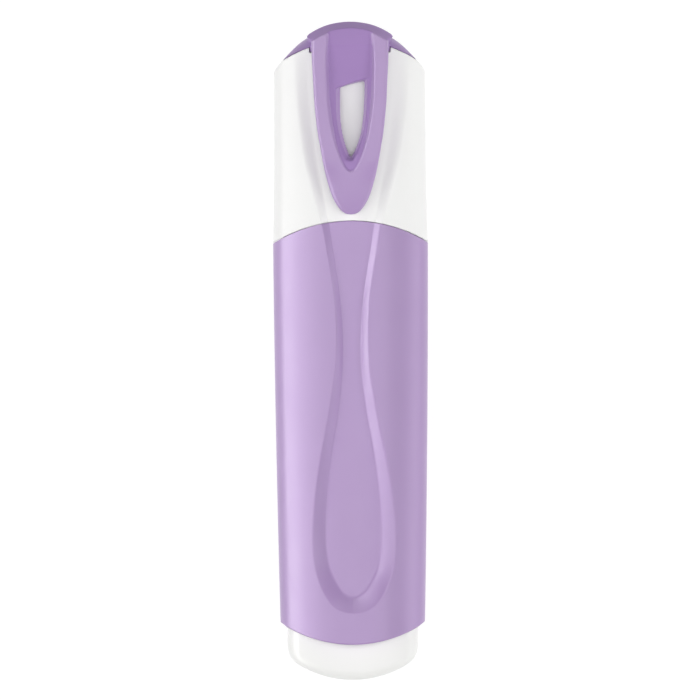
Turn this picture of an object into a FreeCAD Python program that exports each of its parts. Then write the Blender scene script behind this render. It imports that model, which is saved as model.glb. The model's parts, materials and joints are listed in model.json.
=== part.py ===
import FreeCAD, Part
import math
import os
import Sketcher
from FreeCAD import Vector as V

# Flat-oval pocket highlighter: cap with clip at one end, barrel, end plug at the other.
# Every piece is drawn in the pen's own frame (pen axis along Z, z = 0 at the foot of the
# end plug, front with the clip towards -Y) and then laid on its back by its Placement:
# pen Z -> row +Y (towards the cap), front -> row +Z (up), width stays along X.

os.makedirs("parts", exist_ok=True)
doc = FreeCAD.newDocument("highlighter")

# ------------------------------------------------------------------ driving sizes (mm)
sheet = doc.addObject("Spreadsheet::Sheet", "Sizes")
SIZES = [
    ("pen_length", 114.8, "overall length, end plug to top of the clip root"),
    ("lie_height", 8.115, "pen axis above the surface it lies on"),
    # outer barrel: half widths and half thicknesses at five stations
    ("st_one", 3.0, "station heights"), ("st_two", 24.0, ""), ("st_three", 45.0, ""),
    ("st_four", 64.0, ""), ("st_five", 82.0, ""),
    ("wid_one", 12.43, "half width at each station"), ("wid_two", 12.88, ""), ("wid_three", 13.22, ""),
    ("wid_four", 13.42, ""), ("wid_five", 13.52, ""),
    ("thk_one", 7.95, "half thickness at each station"), ("thk_two", 8.22, ""), ("thk_three", 8.25, ""),
    ("thk_four", 8.25, ""), ("thk_five", 8.25, ""),
    ("side_rad", 5.2, "radius of the narrow sides"),
    ("bore_wid", 11.40, "half width of the bore in barrel and cap"),
    ("bore_thk", 5.60, "half thickness of the barrel's bore"),
    ("cap_bore_thk", 6.15, "half thickness of the cap's bore"),
    ("bore_rad", 4.0, "side radius of the bore"),
    ("seam_rad", 25.8, "radius of the arched parting line"),
    ("seam_top", 79.85, "its highest point"),
    ("seam_gap", 0.15, "gap between cap and barrel"),
    ("hem_rad", 22.8, "radius of the barrel's curved lower edge"),
    ("hem_low", 6.13, "its lowest point"),
    ("deep_one", 1.90, "depth of the waisted grip recess at each station"), ("deep_two", 2.00, ""),
    ("deep_three", 1.65, ""), ("deep_four", 1.20, ""), ("deep_five", 1.00, ""),
    # cap
    ("cap_one", 74.0, "cap stations"), ("cap_two", 86.0, ""), ("cap_three", 98.0, ""), ("cap_four", 113.0, ""),
    ("capw_one", 13.5, "cap half widths"), ("capw_two", 13.36, ""), ("capw_three", 13.22, ""), ("capw_four", 13.18, ""),
    ("cap_thk", 8.25, "cap half thickness"),
    ("brow_rad", 21.7, "radius of the shell's arched top edge"),
    ("brow_top", 111.2, "its highest point"),
    ("brow_half", 12.2, "half width of the arched edge"),
    ("shoulder_z", 105.6, "foot of the rounded shoulders"),
    ("cap_recess", 0.8, "depth of the recess in the cap"),
    ("cap_bore_top", 105.4, "end of the oval bore"),
    ("cup_seat_rad", 6.10, "round seat of the inner cup"),
    ("cup_seat_top", 108.8, "end of that seat"),
    # crown and clip
    ("crown_rad", 15.6, "radius of the crown's arch"),
    ("crown_top", 113.6, "its highest point"),
    ("crown_half", 12.1, "half width of the crown"),
    ("crown_plan", 12.75, "half width of the oval that bounds the crown"),
    ("crown_thk", 7.35, "half thickness of the crown"),
    ("lip_half", 7.4, "half width of the clip root"),
    ("lip_rad", 12.2, "radius of the clip root's top"),
    ("lip_top", 114.8, "top of the clip root"),
    ("lip_front", 10.85, "front of the clip root from the pen axis"),
    ("flex_y", 9.35, "flex line of the clip: distance from the pen axis"),
    ("flex_z", 110.3, "flex line of the clip: height"),
    ("flex_rad", 1.15, "rounded head of the clip arm"),
    ("flex_gap", 0.14, "gap round that head"),
    ("peg_rad", 1.2, "crown pegs"), ("peg_x", 8.2, "their distance from the axis"), ("peg_len", 3.2, ""),
    ("groove_deep", 0.95, "depth of the long channel in the clip"),
    # plug, front section, nib, ink store
    ("plug_wid", 11.37, ""), ("plug_thk", 5.57, ""), ("plug_rad", 3.98, ""), ("plug_len", 17.0, ""),
    ("plug_foot", 18.3, "radius of the rounded foot"), ("plug_floor", 4.8, "inside floor"),
    ("store_wid", 9.9, "half width inside plug and front section"), ("store_thk", 4.82, ""), ("store_rad", 3.4, ""),
    ("skirt_low", 62.0, "lower end of the front section"),
    ("neck_wid", 11.0, ""), ("neck_thk", 5.50, ""), ("neck_rad", 3.7, ""), ("neck_top", 91.0, ""),
    ("bead_z", 83.2, "snap bead on the neck"), ("bead_tall", 0.8, ""), ("bead_out", 0.2, ""),
    ("nose_rad", 4.6, ""), ("nose_mid", 97.0, ""), ("nose_tip", 99.6, ""), ("nose_tip_rad", 3.25, ""),
    ("nib_wid", 4.9, ""), ("nib_thk", 3.0, ""), ("nib_low", 79.0, ""), ("nib_top", 105.0, ""), ("nib_slant", 3.1, ""),
    ("nib_fit", 0.03, "clearance round the nib"),
    ("ink_wid", 9.2, ""), ("ink_thk", 4.4, ""), ("ink_rad", 3.2, ""), ("ink_low", 5.0, ""), ("ink_top", 84.0, ""),
    ("film", 0.2, "wrap film"), ("film_fit", 0.03, ""),
    ("cup_rad", 6.05, ""), ("cup_bore", 4.72, ""), ("cup_low", 93.2, ""), ("cup_top", 108.7, ""), ("cup_roof", 107.3, ""),
]
for row, (alias, number, note) in enumerate(SIZES, start=1):
    sheet.set("A%d" % row, alias)
    sheet.set("B%d" % row, str(number))
    sheet.setAlias("B%d" % row, alias)
    sheet.set("C%d" % row, note)
doc.recompute()


def size(alias):
    return float(getattr(sheet, alias))


# ------------------------------------------------------------------ helpers
def body(name):
    return doc.addObject("PartDesign::Body", name)


def plane(b, role):
    return [o for o in b.Origin.OriginFeatures if o.Role == role][0]


def sketch(b, name, role="XY_Plane", offset=None):
    """A sketch on one of the body's own origin planes, moved along its normal by an expression."""
    s = b.newObject("Sketcher::SketchObject", name)
    s.AttachmentSupport = [(plane(b, role), "")]
    s.MapMode = "FlatFace"
    if offset is not None:
        s.setExpression(".AttachmentOffset.Base.z", offset)
    return s


def value(expr):
    """The number behind a simple expression of sheet cells."""
    probe.setExpression("number", expr)
    probe.recompute()
    return float(probe.number)


probe = doc.addObject("App::FeaturePython", "probe")
probe.addProperty("App::PropertyFloat", "number")


def named(s, constraint, name, expr):
    i = s.addConstraint(constraint)
    s.renameConstraint(i, name)
    s.setExpression("Constraints." + name, expr)


def oval(s, wid, thk, rad):
    """Four tangent arcs: narrow sides of radius rad, broad faces whose radius follows."""
    a, b, r = value(wid), value(thk), value(rad)
    big = ((a - r) ** 2 + b * b - r * r) / (2 * (b - r))
    phi = math.atan2(big - b, a - r)  # direction from the broad face's centre to the side's centre
    x, up = V(1, 0, 0), V(0, 0, 1)

    def arc(cx, cy, radius, lo, hi):
        return Part.ArcOfCircle(Part.Circle(V(cx, cy, 0), up, radius), lo, hi)

    s.addGeometry(arc(a - r, 0, r, -phi, phi), False)
    s.addGeometry(arc(0, -(big - b), big, phi, math.pi - phi), False)
    s.addGeometry(arc(-(a - r), 0, r, math.pi - phi, math.pi + phi), False)
    s.addGeometry(arc(0, big - b, big, math.pi + phi, 2 * math.pi - phi), False)
    s.addConstraint(Sketcher.Constraint("PointOnObject", 0, 3, -1))
    s.addConstraint(Sketcher.Constraint("PointOnObject", 2, 3, -1))
    s.addConstraint(Sketcher.Constraint("PointOnObject", 1, 3, -2))
    s.addConstraint(Sketcher.Constraint("PointOnObject", 3, 3, -2))
    w, t, q = "(%s)" % wid, "(%s)" % thk, "(%s)" % rad
    reach = "(%s - %s)" % (w, q)
    broad = "((%s * %s + %s * %s - %s * %s) / (2 * (%s - %s)))" % (reach, reach, t, t, q, q, t, q)
    join = "%s * %s / (%s - %s)" % (reach, broad, broad, q)  # half width at which side and face meet
    named(s, Sketcher.Constraint("Radius", 0, r), "side_right", q)
    named(s, Sketcher.Constraint("Radius", 2, r), "side_left", q)
    named(s, Sketcher.Constraint("Radius", 1, big), "face_back", broad)
    named(s, Sketcher.Constraint("Radius", 3, big), "face_front", broad)
    named(s, Sketcher.Constraint("DistanceX", -1, 1, 0, 3, a - r), "reach_right", reach)
    named(s, Sketcher.Constraint("DistanceX", 2, 3, -1, 1, a - r), "reach_left", reach)
    named(s, Sketcher.Constraint("DistanceY", 1, 3, -1, 1, big - b), "drop_back", "%s - %s" % (broad, t))
    named(s, Sketcher.Constraint("DistanceY", -1, 1, 3, 3, big - b), "drop_front", "%s - %s" % (broad, t))
    xt = (a - r) * big / (big - r)
    for k, (g, pos, right) in enumerate(((0, 1, True), (0, 2, True), (1, 1, True), (1, 2, False),
                                         (2, 1, False), (2, 2, False), (3, 1, False), (3, 2, True))):
        c = Sketcher.Constraint("DistanceX", -1, 1, g, pos, xt) if right else Sketcher.Constraint("DistanceX", g, pos, -1, 1, xt)
        named(s, c, "join_%d" % k, join)
    return s


def circle(s, radius, cx="0", cy=None):
    s.addGeometry(Part.Circle(V(value(cx), 0 if cy is None else value(cy), 0), V(0, 0, 1), value(radius)), False)
    named(s, Sketcher.Constraint("Radius", 0, value(radius)), "radius", radius)
    if cx == "0":
        s.addConstraint(Sketcher.Constraint("PointOnObject", 0, 3, -2))
    else:
        named(s, Sketcher.Constraint("DistanceX", -1, 1, 0, 3, value(cx)), "cx", cx)
    if cy is None:
        s.addConstraint(Sketcher.Constraint("PointOnObject", 0, 3, -1))
    else:
        named(s, Sketcher.Constraint("DistanceY", -1, 1, 0, 3, value(cy)), "cy", cy)
    return s


def outline(s, *curves):
    """Closed outline from lists of points: two points make a line, more make a smooth curve."""
    for pts in curves:
        pts = [V(p[0], p[1], 0) for p in pts]
        if len(pts) == 2:
            s.addGeometry(Part.LineSegment(pts[0], pts[1]), False)
        else:
            c = Part.BSplineCurve()
            c.interpolate(pts)
            s.addGeometry(c, False)
    n = len(curves)
    for i in range(n):
        s.addConstraint(Sketcher.Constraint("Coincident", i, 2, (i + 1) % n, 1))
    return s


def polygon(s, pts):
    n = len(pts)
    return outline(s, *[[pts[i], pts[(i + 1) % n]] for i in range(n)])


def pad(b, s, length=None, both=None):
    p = b.newObject("PartDesign::Pad", s.Name + "_pad")
    p.Profile = s
    if both:
        p.Midplane = True
        p.setExpression("Length", both)
    else:
        p.setExpression("Length", length)
    return p


def pocket(b, s, length=None, reverse=False, both=False):
    """A cut along the sketch's normal; the volume must drop."""
    doc.recompute()
    before = b.Shape.Volume
    p = b.newObject("PartDesign::Pocket", s.Name + "_cut")
    p.Profile = s
    if length is None:
        p.Type = "ThroughAll"
        p.Midplane = both
    else:
        p.setExpression("Length", length)
    p.Reversed = reverse
    doc.recompute()
    if not b.Shape.Volume < before - 1e-4:
        raise RuntimeError("%s removed nothing" % p.Name)
    return p


def loft(b, sketches):
    f = b.newObject("PartDesign::AdditiveLoft", b.Name + "_loft")
    f.Profile = sketches[0]
    f.Sections = sketches[1:]
    f.Ruled = False
    return f


def revolve(b, s):
    f = b.newObject("PartDesign::Revolution", s.Name + "_turn")
    f.Profile = s
    f.ReferenceAxis = (plane(b, "Z_Axis"), [""])
    f.Angle = 360
    return f


def arch_cut(b, name, rad, top, above=True, gap="0"):
    """Front-view cut along an arc centred on the pen axis: above an arched edge, or below a hanging one."""
    s = sketch(b, name, "XZ_Plane")
    r, t, g = value(rad), value(top), value(gap)
    half = 15.0
    if above:
        cz = t - r
        ang = math.acos(half / r)
        s.addGeometry(Part.ArcOfCircle(Part.Circle(V(0, cz, 0), V(0, 0, 1), r), ang, math.pi - ang), False)
        far = cz + r + 12
    else:
        cz = t + r
        ang = math.acos(half / r)
        s.addGeometry(Part.ArcOfCircle(Part.Circle(V(0, cz, 0), V(0, 0, 1), r), math.pi + ang, 2 * math.pi - ang), False)
        far = cz - r - 12
    e0, e1 = s.Geometry[0].StartPoint, s.Geometry[0].EndPoint
    s.addGeometry(Part.LineSegment(e1, V(e1.x, far, 0)), False)
    s.addGeometry(Part.LineSegment(V(e1.x, far, 0), V(e0.x, far, 0)), False)
    s.addGeometry(Part.LineSegment(V(e0.x, far, 0), e0), False)
    s.addConstraint(Sketcher.Constraint("Coincident", 0, 2, 1, 1))
    s.addConstraint(Sketcher.Constraint("Coincident", 1, 2, 2, 1))
    s.addConstraint(Sketcher.Constraint("Coincident", 2, 2, 3, 1))
    s.addConstraint(Sketcher.Constraint("Coincident", 3, 2, 0, 1))
    s.addConstraint(Sketcher.Constraint("PointOnObject", 0, 3, -2))
    named(s, Sketcher.Constraint("Radius", 0, r), "arc", rad)
    named(s, Sketcher.Constraint("DistanceY", -1, 1, 0, 3, cz), "mid", "%s %s %s" % (top, "-" if above else "+", rad))
    return pocket(b, s, both=True)


# the waisted outline of the recess, as (half width, height) from the parting line down
WAIST = [(5.35, 84.0), (4.95, 78.5), (4.30, 74.2), (3.62, 69.8), (3.02, 65.6), (2.78, 61.5), (2.78, 57.6),
         (3.05, 53.6), (3.70, 49.4), (4.35, 45.4), (5.15, 41.3), (5.95, 37.0), (6.55, 32.8), (7.00, 28.0),
         (7.05, 23.6), (6.75, 20.0), (6.05, 17.0), (5.00, 14.6), (3.40, 12.6), (1.70, 11.75), (0.0, 11.5)]
WAIST_FLOOR = [(4.05, 84.0), (3.80, 78.5), (3.30, 74.2), (2.65, 69.8), (2.08, 65.6), (1.60, 61.5), (1.45, 57.6),
               (1.50, 53.6), (1.95, 49.4), (2.60, 45.4), (3.36, 41.3), (4.00, 37.0), (4.48, 32.8), (4.86, 28.0),
               (4.82, 23.6), (4.38, 20.0), (3.55, 18.0), (2.66, 16.5), (1.75, 15.3), (0.85, 14.7), (0.0, 14.5)]
# the cap's recess, open at both ends: widest at the top, where the clip springs out
CAP_WAIST = [(8.9, 114.0), (8.75, 104.4), (8.45, 99.0), (7.45, 90.7), (6.25, 85.0), (5.20, 80.4), (4.75, 76.5), (4.5, 73.0)]
CAP_FLOOR = [(7.9, 114.0), (7.75, 104.4), (7.45, 99.0), (6.45, 90.7), (5.20, 85.0), (4.05, 80.4), (3.65, 76.5), (3.4, 73.0)]


def recess_tool(name, outer, inner, floor_stations, closed_end):
    """Both recesses of a piece: a drafted waisted prism less the body of its floor, and its mirror image."""
    wall = body(name + "_wall")
    sks = []
    for tag, pts, depth in (("rim", outer, "Sizes.thk_three + 0.35"), ("foot", inner, "Sizes.thk_three - 2.3")):
        s = sketch(wall, "%s_%s" % (name, tag), "XZ_Plane", depth)
        left = [(-x, z) for x, z in pts]
        if closed_end:
            right = [(x, z) for x, z in reversed(pts[:-1])]
            outline(s, left + right, [right[-1], left[0]])
        else:
            right = [(x, z) for x, z in reversed(pts)]
            outline(s, left, [left[-1], right[0]], right, [right[-1], left[0]])
        sks.append(s)
    loft(wall, sks)
    floor = body(name + "_floor")
    fs = []
    for k, (z, w, t) in enumerate(floor_stations):
        s = sketch(floor, "%s_f%d" % (name, k), "XY_Plane", z)
        oval(s, w, t, "Sizes.side_rad - 0.6")
        fs.append(s)
    loft(floor, fs)
    one = doc.addObject("Part::Cut", name + "_front")
    one.Base, one.Tool = wall, floor
    two = doc.addObject("Part::Mirroring", name + "_back")
    two.Source = one
    two.Base = V(0, 0, 0)
    two.Normal = V(0, 1, 0)
    both = doc.addObject("Part::Compound", name + "_both")
    both.Links = [one, two]
    return both


def carve(name, base, tool):
    c = doc.addObject("Part::Cut", name)
    c.Base, c.Tool = base, tool
    return c


ORDER = []


def finish(obj, label):
    """Names the sub-part and lays it on its back in the row frame."""
    obj.Label = label
    obj.Placement = FreeCAD.Placement(V(0, 0, 0), FreeCAD.Rotation(V(1, 0, 0), -90))
    obj.setExpression(".Placement.Base.y", "-Sizes.pen_length / 2")
    obj.setExpression(".Placement.Base.z", "Sizes.lie_height")
    ORDER.append(obj)
    return obj


# ------------------------------------------------------------------ barrel
bar = body("barrel_body")
stations = []
for k, n in enumerate(("one", "two", "three", "four", "five")):
    s = sketch(bar, "barrel_s%d" % k, "XY_Plane", "Sizes.st_" + n)
    oval(s, "Sizes.wid_" + n, "Sizes.thk_" + n, "Sizes.side_rad")
    stations.append(s)
loft(bar, stations)
arch_cut(bar, "barrel_mouth", "Sizes.seam_rad", "Sizes.seam_top", True)
arch_cut(bar, "barrel_hem", "Sizes.hem_rad", "Sizes.hem_low", False)
s = oval(sketch(bar, "barrel_bore", "XY_Plane", "Sizes.st_three"), "Sizes.bore_wid", "Sizes.bore_thk", "Sizes.bore_rad")
pocket(bar, s, both=True)
tool = recess_tool("grip", WAIST, WAIST_FLOOR,
                   [("Sizes.st_%s" % n, "Sizes.wid_%s - 0.7" % n, "Sizes.thk_%s - Sizes.deep_%s" % (n, n))
                    for n in ("one", "two", "three", "four")] + [("86", "Sizes.wid_five - 0.7", "Sizes.thk_five - Sizes.deep_five")], True)
finish(carve("barrel", bar, tool), "barrel")

# ------------------------------------------------------------------ cap shell
cap = body("cap_body")
stations = []
for k, n in enumerate(("one", "two", "three", "four")):
    s = sketch(cap, "cap_s%d" % k, "XY_Plane", "Sizes.cap_" + n)
    oval(s, "Sizes.capw_" + n, "Sizes.cap_thk", "Sizes.side_rad")
    stations.append(s)
loft(cap, stations)
# shoulders: arched top edge between two rounded corners, seen from the front
s = sketch(cap, "cap_brow", "XZ_Plane")
hw, br, bt, sz = size("brow_half"), size("brow_rad"), size("brow_top"), size("shoulder_z")
arch = [(x, bt - br + math.sqrt(br * br - x * x)) for x in [hw * (1 - k / 6.0) for k in range(13)]]
corner = [(13.6, sz - 1.4), (13.22, sz - 0.2), (12.95, sz + 0.75), (12.6, sz + 1.35), arch[0]]
outline(s, [(13.6, 118.0), corner[0]], corner, arch, [(-x, z) for x, z in reversed(corner)],
        [(-13.6, sz - 1.4), (-13.6, 118.0)], [(-13.6, 118.0), (13.6, 118.0)])
pocket(cap, s, both=True)
# lower edge, concentric with the barrel's arched mouth
s = sketch(cap, "cap_hem", "XZ_Plane")
r, cz = size("seam_rad") + size("seam_gap"), size("seam_top") - size("seam_rad")
ang = math.acos(15.0 / r)
s.addGeometry(Part.ArcOfCircle(Part.Circle(V(0, cz, 0), V(0, 0, 1), r), ang, math.pi - ang), False)
e0, e1 = s.Geometry[0].StartPoint, s.Geometry[0].EndPoint
s.addGeometry(Part.LineSegment(e1, V(e1.x, 60, 0)), False)
s.addGeometry(Part.LineSegment(V(e1.x, 60, 0), V(e0.x, 60, 0)), False)
s.addGeometry(Part.LineSegment(V(e0.x, 60, 0), e0), False)
for i in range(4):
    s.addConstraint(Sketcher.Constraint("Coincident", i, 2, (i + 1) % 4, 1))
s.addConstraint(Sketcher.Constraint("PointOnObject", 0, 3, -2))
named(s, Sketcher.Constraint("Radius", 0, r), "arc", "Sizes.seam_rad + Sizes.seam_gap")
named(s, Sketcher.Constraint("DistanceY", -1, 1, 0, 3, cz), "mid", "Sizes.seam_top - Sizes.seam_rad")
pocket(cap, s, both=True)
s = oval(sketch(cap, "cap_bore", "XY_Plane", "Sizes.cap_bore_top"), "Sizes.bore_wid", "Sizes.cap_bore_thk", "Sizes.bore_rad")
pocket(cap, s)
s = circle(sketch(cap, "cup_seat", "XY_Plane", "Sizes.cup_seat_top"), "Sizes.cup_seat_rad")
pocket(cap, s)
for side, sign in (("left", "-"), ("right", "")):
    s = circle(sketch(cap, "peg_hole_" + side, "XY_Plane", "Sizes.cap_bore_top - 1"), "Sizes.peg_rad + 0.03", sign + "Sizes.peg_x")
    pocket(cap, s, reverse=True)
tool = recess_tool("clip_seat", CAP_WAIST, CAP_FLOOR,
                   [("70", "Sizes.capw_one - 0.7", "Sizes.cap_thk - Sizes.deep_five"),
                    ("84", "Sizes.capw_two - 0.7", "Sizes.cap_thk - 0.92"),
                    ("98", "Sizes.capw_three - 0.7", "Sizes.cap_thk - Sizes.cap_recess"),
                    ("115", "Sizes.capw_four - 0.7", "Sizes.cap_thk - Sizes.cap_recess")], False)
finish(carve("cap_shell", cap, tool), "cap_shell")

# ------------------------------------------------------------------ crown with the clip's root
crown = body("crown")
s = sketch(crown, "crown_arch", "XZ_Plane")
ch, cr, ct = size("crown_half"), size("crown_rad"), size("crown_top")
top = [(x, ct - cr + math.sqrt(cr * cr - x * x)) for x in [ch * (1 - k / 6.0) for k in range(13)]]
low = [(-x, bt + 0.02 - br + math.sqrt(br * br - x * x)) for x in [ch * (1 - k / 6.0) for k in range(13)]]
outline(s, top, [top[-1], low[0]], low, [low[-1], top[0]])
pad(crown, s, both="2 * Sizes.crown_thk + 1")
# depth profile of the crown: low at front and back, highest in the middle
s = sketch(crown, "crown_depth", "YZ_Plane")
rise = [(-8.6, 110.9), (-7.4, 111.8), (-6.2, 112.5), (-4.4, 113.1), (-2.3, 113.5), (0, 113.6)]
rise = rise + [(-y, z) for y, z in reversed(rise[:-1])]
outline(s, rise, [rise[-1], (8.6, 118)], [(8.6, 118), (-8.6, 118)], [(-8.6, 118), rise[0]])
pocket(crown, s, both=True)
# seen from above the crown keeps inside the shell's oval
s = oval(sketch(crown, "crown_plan", "XY_Plane", "Sizes.brow_top - 10"), "Sizes.crown_plan", "Sizes.crown_thk", "Sizes.side_rad - 0.5")
for a, c in (((-16, -12), (16, -12)), ((16, -12), (16, 12)), ((16, 12), (-16, 12)), ((-16, 12), (-16, -12))):
    s.addGeometry(Part.LineSegment(V(a[0], a[1], 0), V(c[0], c[1], 0)), False)
pocket(crown, s, both=True)
s = sketch(crown, "root_side", "YZ_Plane")
lf = size("lip_front")
polygon(s, [(-lf, size("flex_z")), (-lf, 112.9), (-lf + 0.35, 113.5), (-9.3, 114.6), (-8.6, 114.95), (-7.6, 114.95), (-6.7, 114.5), (-5.2, 113.1),
            (-5.2, 111.9), (-7.2, 111.3), (-7.6, 111.2), (-7.6, size("flex_z"))])
pad(crown, s, both="2 * Sizes.lip_half")
s = sketch(crown, "root_top", "XZ_Plane")
lr, lt = size("lip_rad"), size("lip_top")
arc = [(x, lt - lr + math.sqrt(lr * lr - x * x)) for x in [9.0 * (1 - k / 6.0) for k in range(13)]]
outline(s, arc, [arc[-1], (-9.0, 118)], [(-9.0, 118), (9.0, 118)], [(9.0, 118), arc[0]])
pocket(crown, s, both=True)
# seat round the clip arm's head
s = sketch(crown, "flex_seat", "YZ_Plane")
circle(s, "Sizes.flex_rad + Sizes.flex_gap", "-Sizes.flex_y", "Sizes.flex_z")
pocket(crown, s, both=True)
# the channel of the clip runs up into the root
s = sketch(crown, "root_channel", "XZ_Plane", "Sizes.lip_front - Sizes.groove_deep")
polygon(s, [(-4.08, 108.0), (4.08, 108.0), (4.2, 113.2), (-4.2, 113.2)])
pocket(crown, s, "3", reverse=True)
for side, sign in (("left", "-"), ("right", "")):
    s = circle(sketch(crown, "peg_" + side, "XY_Plane", "Sizes.brow_top - 4.6"), "Sizes.peg_rad", sign + "Sizes.peg_x")
    pad(crown, s, "Sizes.peg_len + 0.6")
finish(crown, "clip_crown")

# ------------------------------------------------------------------ clip arm
EDGE = [(6.82, 110.3), (6.75, 108.0), (6.50, 104.0), (6.28, 100.2), (5.80, 95.7), (5.32, 92.8), (4.85, 90.1),
        (4.15, 87.0), (3.20, 84.05), (2.0, 81.9), (0.95, 80.95), (0.0, 80.75)]
arm = body("clip_arm")
s = sketch(arm, "arm_front", "XZ_Plane", "7.5")
left = [(-x, z) for x, z in EDGE]
right = [(x, z) for x, z in reversed(EDGE[:-1])]
top_z = size("flex_z") + size("flex_rad") + 0.5
outline(s, left + right, [right[-1], (EDGE[0][0], top_z)], [(EDGE[0][0], top_z), (-EDGE[0][0], top_z)], [(-EDGE[0][0], top_z), left[0]])
pad(arm, s, "3.6")
# side view: flat back, small gripping bump at the tip, face falling away towards the tip
s = sketch(arm, "arm_side", "YZ_Plane")
fy, fz, fr = size("flex_y"), size("flex_z"), size("flex_rad")
head = [(-fy + fr * math.cos(t), fz + fr * math.sin(t)) for t in [math.radians(k) for k in range(0, 181, 20)]]
back = [(-fy + fr, fz), (-8.25, 106.5), (-8.4, 100.0), (-8.4, 92.0), (-8.2, 86.5), (-7.95, 83.4), (-7.95, 82.0), (-8.15, 81.0), (-8.5, 80.6)]
face = [(-8.5, 80.6), (-9.05, 81.4), (-9.6, 83.5), (-10.05, 87.0), (-10.45, 92.0), (-10.65, 98.0), (-10.75, 104.0), (-10.72, 108.0), (-fy - fr, fz)]
outline(s, head, face[::-1], back[::-1])
for a, c in (((-13, 78), (-6, 78)), ((-6, 78), (-6, 113)), ((-6, 113), (-13, 113)), ((-13, 113), (-13, 78))):
    s.addGeometry(Part.LineSegment(V(a[0], a[1], 0), V(c[0], c[1], 0)), False)
pocket(arm, s, both=True)
# long channel in the face, running out towards the tip
CHANNEL = [(4.10, 111.9), (4.08, 108.0), (3.95, 104.0), (3.80, 100.4), (3.15, 95.7), (2.50, 92.8), (1.30, 89.6), (0.0, 88.4)]
s = sketch(arm, "arm_channel", "XZ_Plane", "Sizes.lip_front - Sizes.groove_deep - 0.15")
left = [(-x, z) for x, z in CHANNEL]
right = [(x, z) for x, z in reversed(CHANNEL[:-1])]
outline(s, left + right, [right[-1], left[0]])
pocket(arm, s, "3", reverse=True)
# slot right through the arm, slanted at its top
SLOT = [(-1.85, 103.1), (-1.85, 98.6), (-1.35, 95.2), (-0.75, 92.9), (-0.15, 91.4), (0.15, 91.3), (0.75, 92.6), (1.45, 94.8), (2.05, 97.8), (2.40, 101.0), (2.50, 104.2)]
s = sketch(arm, "arm_slot", "XZ_Plane")
outline(s, SLOT, [SLOT[-1], SLOT[0]])
pocket(arm, s, both=True)
finish(arm, "clip_tongue")

# ------------------------------------------------------------------ inner cup of the cap
cup = body("cup")
s = sketch(cup, "cup_section", "XZ_Plane")
co, cb, c0, c1, c2 = (size(n) for n in ("cup_rad", "cup_bore", "cup_low", "cup_top", "cup_roof"))
polygon(s, [(0, c2), (cb - 0.6, c2), (cb - 0.6, 99.4), (cb, 98.6), (cb, c0 + 0.5), (cb + 0.35, c0), (co - 0.3, c0), (co, c0 + 0.4), (co, c1), (0, c1)])
revolve(cup, s)
finish(cup, "inner_cap")

# ------------------------------------------------------------------ front section
front = body("front")
s = oval(sketch(front, "skirt", "XY_Plane", "Sizes.skirt_low"), "Sizes.plug_wid", "Sizes.plug_thk", "Sizes.plug_rad")
pad(front, s, "19")
arch_cut(front, "skirt_top", "Sizes.seam_rad", "Sizes.seam_top - 0.5", True)
s = oval(sketch(front, "neck", "XY_Plane", "Sizes.skirt_low + 8"), "Sizes.neck_wid", "Sizes.neck_thk", "Sizes.neck_rad")
pad(front, s, "Sizes.neck_top - Sizes.skirt_low - 8")
s = oval(sketch(front, "bead", "XY_Plane", "Sizes.bead_z"), "Sizes.neck_wid + Sizes.bead_out", "Sizes.neck_thk + Sizes.bead_out", "Sizes.neck_rad + Sizes.bead_out")
pad(front, s, "Sizes.bead_tall")
s = sketch(front, "nose", "XZ_Plane")
nt, nr, nm, n1, n2 = (size(n) for n in ("neck_top", "nose_rad", "nose_mid", "nose_tip", "nose_tip_rad"))
polygon(s, [(0, nt - 3), (5.6, nt - 3), (5.6, nt), (5.0, nt + 0.7), (nr, nt + 1.6), (nr, nm), (nr - 0.15, nm + 0.2), (n2 + 0.1, n1 - 0.25), (n2 - 0.15, n1), (0, n1)])
revolve(front, s)
s = oval(sketch(front, "store_room", "XY_Plane", "Sizes.neck_top - 4.5"), "Sizes.store_wid", "Sizes.store_thk", "Sizes.store_rad")
pocket(front, s)
s = sketch(front, "nib_hole", "XY_Plane", "Sizes.nose_tip + 1")
nw, nk = size("nib_wid") / 2 + size("nib_fit"), size("nib_thk") / 2 + size("nib_fit")
polygon(s, [(-nw, -nk), (nw, -nk), (nw, nk), (-nw, nk)])
pocket(front, s)
finish(front, "front_section")

# ------------------------------------------------------------------ nib, slanted like a chisel
nib = body("nib_body")
s = sketch(nib, "nib_section", "XY_Plane", "Sizes.nib_low")
nw, nk, q = size("nib_wid") / 2, size("nib_thk") / 2, 0.35
polygon(s, [(-nw + q, -nk), (nw - q, -nk), (nw, -nk + q), (nw, nk - q), (nw - q, nk), (-nw + q, nk), (-nw, nk - q), (-nw, -nk + q)])
pad(nib, s, "Sizes.nib_top - Sizes.nib_low")
s = sketch(nib, "nib_slant", "XZ_Plane")
t0, t1 = size("nib_top"), size("nib_top") - size("nib_slant")
polygon(s, [(-nw - 1, t0 - 0.4), (-nw + 0.5, t0), (nw - 0.4, t1), (nw + 1, t1 - 1.2), (nw + 1, t0 + 3), (-nw - 1, t0 + 3)])
pocket(nib, s, both=True)
finish(nib, "nib")

# ------------------------------------------------------------------ ink store and its film
ink = body("ink")
s = oval(sketch(ink, "ink_section", "XY_Plane", "Sizes.ink_low"), "Sizes.ink_wid", "Sizes.ink_thk", "Sizes.ink_rad")
pad(ink, s, "Sizes.ink_top - Sizes.ink_low")
s = sketch(ink, "ink_pocket", "XY_Plane", "Sizes.ink_top")
nw, nk = size("nib_wid") / 2 + 0.04, size("nib_thk") / 2 + 0.04
polygon(s, [(-nw, -nk), (nw, -nk), (nw, nk), (-nw, nk)])
pocket(ink, s, "Sizes.ink_top - Sizes.nib_low + 0.04")
finish(ink, "ink_reservoir")

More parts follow.
